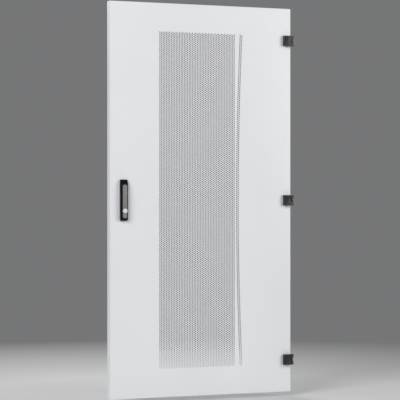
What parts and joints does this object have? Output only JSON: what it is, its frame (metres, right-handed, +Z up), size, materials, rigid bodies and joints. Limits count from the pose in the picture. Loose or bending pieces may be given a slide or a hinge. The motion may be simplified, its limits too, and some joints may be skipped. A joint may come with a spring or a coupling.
{
  "type": "server rack door",
  "caption": "Perforated sheet-steel rack door with a curved side band of holes, face hinges, a swing handle and a rack-and-pinion rod lock.",
  "frame": {"origin": "centre of the middle hinge bracket's two mounting holes, on the bracket's back face, where the rack's frame begins", "axes": "+Z up, +Y into the rack (the door's front faces -Y), +X towards the hinge side"},
  "size_m": [0.795, 0.0628, 1.564],
  "materials": {
    "sheet_paint": "fine-textured powder coat, light grey",
    "black_hinge": "satin black coated zinc",
    "black_plastic": "matt black moulded polyamide",
    "lever_grey": "satin mid-grey coated zinc",
    "seal_rubber": "matt black",
    "zinc_steel": "bright zinc plate",
    "pin_steel": "ground",
    "lock_chrome": "polished",
    "earth_brass": "bright",
    "gear_steel": "sintered"
  },
  "bodies": {
    "frame_side": {"hinge_bracket_top": "black_hinge", "hinge_bracket_mid": "black_hinge", "hinge_bracket_bottom": "black_hinge"},
    "hub": {"handle_hub": "black_hinge", "cross_pin": "pin_steel", "pinion": "gear_steel", "latch_cam": "zinc_steel", "cam_washer": "zinc_steel", "cam_screw": "zinc_steel"},
    "lever": {"lever": "lever_grey", "lock_collar": "lock_chrome"},
    "plug": {"lock_plug": "lock_chrome"},
    "upper_rod": {"upper_rod": "zinc_steel"},
    "lower_rod": {"lower_rod": "zinc_steel"},
    "door": {"door_panel": "sheet_paint", "lock_side_stiffener": "sheet_paint", "hinge_side_stiffener": "sheet_paint", "top_stiffener": "sheet_paint", "bottom_stiffener": "sheet_paint", "rubber_buffers": "seal_rubber", "earth_stud": "earth_brass", "earth_washer": "zinc_steel", "earth_nut": "zinc_steel", "hinge_block_top": "black_hinge", "hinge_block_mid": "black_hinge", "hinge_block_bottom": "black_hinge", "hinge_pin_top": "pin_steel", "hinge_pin_mid": "pin_steel", "hinge_pin_bottom": "pin_steel", "hinge_screws_top": "zinc_steel", "hinge_screws_mid": "zinc_steel", "hinge_screws_bottom": "zinc_steel", "handle_base": "black_plastic", "handle_seal": "seal_rubber", "base_screw": "zinc_steel", "lock_case": "black_plastic", "lock_case_cover": "black_plastic", "case_screws": "zinc_steel", "upper_rod_guides": "black_plastic", "lower_rod_guides": "black_plastic"}
  },
  "joints": [
    {"name": "door_swing", "type": "hinge", "parent": "frame_side", "child": "door", "pos_m": [0.015, -0.048, 0], "axis": [0, 0, 1], "range_deg": [0, 130]},
    {"name": "handle_turn", "type": "hinge", "parent": "door", "child": "hub", "pos_m": [-0.717, -0.04, 0.053], "axis": [0, -1, 0], "range_deg": [0, 90]},
    {"name": "lever_lift", "type": "hinge", "parent": "hub", "child": "lever", "pos_m": [-0.717, -0.05675, 0.053], "axis": [-1, 0, 0], "range_deg": [0, 30]},
    {"name": "lock_turn", "type": "hinge", "parent": "lever", "child": "plug", "pos_m": [-0.717, -0.06, -0.042], "axis": [0, -1, 0], "range_deg": [0, 90]},
    {"name": "upper_rod_slide", "type": "slide", "parent": "door", "child": "upper_rod", "axis": [0, 0, -1], "range_m": [0, 0.0177]},
    {"name": "lower_rod_slide", "type": "slide", "parent": "door", "child": "lower_rod", "axis": [0, 0, 1], "range_m": [0, 0.0177]}
  ],
  "couplings": [
    {"joint": "upper_rod_slide", "follows": "handle_turn", "m_per_rad": 0.01125},
    {"joint": "lower_rod_slide", "follows": "handle_turn", "m_per_rad": 0.01125}
  ]
}
